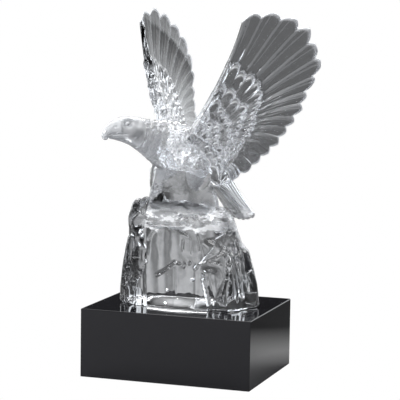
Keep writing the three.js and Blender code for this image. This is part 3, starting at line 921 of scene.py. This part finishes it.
def studio_world():
    """A pale room to the eye; for the crystal to bend, a grey backdrop between two bright windows."""
    world = bpy.data.worlds.new("studio_room")
    world.use_nodes = True
    tree = world.node_tree
    tree.nodes.clear()
    place = add_node(tree, "ShaderNodeTexCoord")
    parts = add_node(tree, "ShaderNodeSeparateXYZ", links={"Vector": (place, "Generated")})
    across = add_node(tree, "ShaderNodeVectorMath", {"operation": "DOT_PRODUCT"}, {
        0: (place, "Generated"), 1: RIGHTWARDS})
    ahead = add_node(tree, "ShaderNodeVectorMath", {"operation": "DOT_PRODUCT"}, {
        0: (place, "Generated"), 1: AHEAD})
    shades = {}
    for name, value, stops in (
        ("backdrop", (parts, "Z"), [
            (-1.0, 0.1), (0.15, 0.1), (0.165, 0.015), (0.19, 0.015), (0.21, 0.1), (0.35, 0.4),
            (0.6, 1.5), (1.0, 1.5)]),
        ("windows", (across, "Value"), [
            (-1.0, 0.0), (-0.85, 0.0), (-0.75, 1.0), (-0.45, 1.0), (-0.35, 0.0), (0.0, 0.0),
            (0.35, 0.0), (0.45, 1.0), (0.75, 1.0), (0.85, 0.0), (1.0, 0.0)]),
        ("side walls", (across, "Value"), [
            (-1.0, 0.05), (-0.85, 0.05), (-0.75, 1.0), (0.75, 1.0), (0.85, 0.05), (1.0, 0.05)]),
        ("near half", (parts, "Z"), [(-1.0, 0.03), (0.4, 0.03), (0.7, 0.5), (1.0, 0.8)]),
        ("depth", (ahead, "Value"), [(-1.0, 0.0), (-0.05, 0.0), (0.25, 1.0), (1.0, 1.0)]),
    ):
        share = add_node(tree, "ShaderNodeMapRange", links={
            "Value": value, "From Min": -1.0, "From Max": 1.0})
        shades[name] = add_node(tree, "ShaderNodeValToRGB", links={"Fac": (share, "Result")}, stops=stops)
    walls = add_node(tree, "ShaderNodeMix", {"data_type": "RGBA", "blend_type": "MULTIPLY"}, {
        0: 1.0, 6: (shades["backdrop"], "Color"), 7: (shades["side walls"], "Color")})
    far_half = add_node(tree, "ShaderNodeMix", {"data_type": "RGBA"}, {
        0: (shades["windows"], "Color"), 6: (walls, 2), 7: WINDOW_LIGHT})
    room = add_node(tree, "ShaderNodeMix", {"data_type": "RGBA"}, {
        0: (shades["depth"], "Color"), 6: (shades["near half"], "Color"), 7: (far_half, 2)})
    lit = add_node(tree, "ShaderNodeBackground", links={"Color": (room, 2)})
    seen = add_node(tree, "ShaderNodeBackground", links={"Color": (1, 1, 1, 1)})
    ray = add_node(tree, "ShaderNodeLightPath")
    both = add_node(tree, "ShaderNodeMixShader", links={
        0: (ray, "Is Camera Ray"), 1: (lit, 0), 2: (seen, 0)})
    output = add_node(tree, "ShaderNodeOutputWorld")
    tree.links.new(both.outputs[0], output.inputs["Surface"])
    return world


def pale_paper(colour):
    """Studio paper, pressed and matt."""
    # No shine, and white to the eye. For the crystal to bend, the studio's light and shade are painted into
    # its grey
    # for other rays: rings round the block that fall off, a painted pool of light beside it on the right,
    # and soft streaks of painted shadow, as studio screens would cast.
    material, tree, output = new_material("pale_pressed_paper")
    place = add_node(tree, "ShaderNodeTexCoord")
    away = add_node(tree, "ShaderNodeVectorMath", {"operation": "LENGTH"}, {0: (place, "Object")})
    behind = add_node(tree, "ShaderNodeVectorMath", {"operation": "DOT_PRODUCT"}, {
        0: (place, "Object"), 1: AHEAD})
    beside = add_node(tree, "ShaderNodeVectorMath", {"operation": "DOT_PRODUCT"}, {
        0: (place, "Object"), 1: RIGHTWARDS})
    # Painted light and shade: grey rings round the block behind it, and a bright painted pool of light
    # close to it on the right.
    shades = {}
    for name, value, stops in (
        ("rings", away, [
            (-1.0, 0.07), (0.2, 0.07), (0.25, 0.22), (0.33, 0.19), (0.42, 0.12), (0.7, 0.09),
            (1.0, 0.09)]),
        ("right rings", away, [
            (-1.0, 0.6), (0.09, 0.6), (0.22, 0.04), (0.33, 0.04), (0.5, 0.16), (1.0, 0.16)]),
        ("rear", behind, [(-1.0, 0.0), (-0.03, 0.0), (0.06, 1.0), (1.0, 1.0)]),
        ("right", beside, [(-1.0, 0.0), (0.06, 0.0), (0.11, 1.0), (1.0, 1.0)]),
    ):
        share = add_node(tree, "ShaderNodeMapRange", links={
            "Value": (value, "Value"), "From Min": -1.0, "From Max": 1.0})
        shades[name] = add_node(tree, "ShaderNodeValToRGB", links={"Fac": (share, "Result")}, stops=stops)
    # Soft streaks of painted shadow, as studio screens would cast, that darken and lighten the rings behind
    # the block.
    screen_shadow = add_node(tree, "ShaderNodeTexNoise", {"noise_dimensions": "1D"}, {
        "W": (beside, "Value"), "Scale": 1 / (76.92 * MM), "Detail": 1.0})
    fade = add_node(tree, "ShaderNodeMapRange", links={
        "Value": (screen_shadow, "Fac"), "From Min": 0.2, "From Max": 0.8, "To Min": 0.35, "To Max": 1.35})
    shadowed_rings = add_node(tree, "ShaderNodeVectorMath", {"operation": "SCALE"}, {
        0: (shades["rings"], "Color"), "Scale": (fade, "Result")})
    rear = add_node(tree, "ShaderNodeMix", {"data_type": "RGBA"}, {
        0: (shades["right"], "Color"), 6: (shadowed_rings, "Vector"), 7: (shades["right rings"], "Color")})
    shade = add_node(tree, "ShaderNodeMix", {"data_type": "RGBA"}, {
        0: (shades["rear"], "Color"), 6: (*colour, 1), 7: (rear, 2)})
    matt = add_node(tree, "ShaderNodeBsdfDiffuse", links={"Color": (shade, 2)})
    white = add_node(tree, "ShaderNodeEmission", links={"Color": (1, 1, 1, 1)})
    ray = add_node(tree, "ShaderNodeLightPath")
    both = add_node(tree, "ShaderNodeMixShader", links={
        0: (ray, "Is Camera Ray"), 1: (matt, 0), 2: (white, 0)})
    tree.links.new(both.outputs[0], output.inputs["Surface"])
    return material


def place_camera(scene):
    """Sets the camera where the photograph was taken from."""
    camera = bpy.data.objects.new("camera", bpy.data.cameras.new("camera"))
    camera.data.lens = CAMERA_LENS
    azimuth, elevation, roll = [
        math.radians(turn) for turn in (CAMERA_AZIMUTH, CAMERA_ELEVATION, CAMERA_ROLL)]
    away = Vector((math.sin(azimuth) * math.cos(elevation), -math.cos(azimuth) * math.cos(elevation),
                   math.sin(elevation)))
    right = Vector((math.cos(azimuth), math.sin(azimuth), 0))
    up = away.cross(right)
    tilted = right * math.cos(roll) - up * math.sin(roll)
    raised = right * math.sin(roll) + up * math.cos(roll)
    turn = Matrix((tilted, raised, away)).transposed()
    camera.matrix_world = Matrix.Translation(turn @ Vector(CAMERA_PLACE)) @ turn.to_4x4()
    scene.collection.objects.link(camera)
    scene.camera = camera


class EAGLE_OT_studio(bpy.types.Operator):
    """Lay the pale floor, light it softly and place the camera"""

    bl_idname = "eagle.studio"
    bl_label = "Studio"

    def execute(self, context):
        own = context.scene.studio_settings
        scene = context.scene
        scene.world = studio_world()
        scene.view_settings.view_transform = "Standard"
        form = bmesh.new()
        bmesh.ops.create_circle(form, cap_ends=True, segments=96, radius=own.floor_radius)
        mesh = bpy.data.meshes.new("pale_floor")
        form.to_mesh(mesh)
        form.free()
        mesh.materials.append(pale_paper(own.floor))
        floor = bpy.data.objects.new("pale_floor", mesh)
        scene.collection.objects.link(floor)
        for name, panel in PANELS.items():
            soft_panel(name, *panel)
        place_camera(scene)
        return {"FINISHED"}


class EAGLE_PT_sidebar(bpy.types.Panel):
    """Settings and steps of the crystal eagle"""

    bl_label = "Crystal eagle"
    bl_idname = "EAGLE_PT_sidebar"
    bl_space_type = "VIEW_3D"
    bl_region_type = "UI"
    bl_category = "Crystal eagle"

    def draw(self, context):
        steps = ((EAGLE_OT_crystal, "crystal_settings"), (EAGLE_OT_block, "block_settings"),
                 (EAGLE_OT_studio, "studio_settings"))
        for operator, name in steps:
            box = self.layout.box()
            box.operator(operator.bl_idname)
            settings = getattr(context.scene, name)
            for key in settings.__annotations__:
                box.prop(settings, key)


CLASSES = (CrystalSettings, BlockSettings, StudioSettings, EAGLE_OT_crystal, EAGLE_OT_block,
           EAGLE_OT_studio, EAGLE_PT_sidebar)


def register():
    for item in CLASSES:
        bpy.utils.register_class(item)
    bpy.types.Scene.crystal_settings = PointerProperty(type=CrystalSettings)
    bpy.types.Scene.block_settings = PointerProperty(type=BlockSettings)
    bpy.types.Scene.studio_settings = PointerProperty(type=StudioSettings)


def unregister():
    del bpy.types.Scene.studio_settings
    del bpy.types.Scene.block_settings
    del bpy.types.Scene.crystal_settings
    for item in reversed(CLASSES):
        bpy.utils.unregister_class(item)


def main():
    register()
    bpy.ops.eagle.crystal()
    bpy.ops.eagle.block()
    bpy.ops.eagle.studio()


if __name__ == "__main__":
    main()
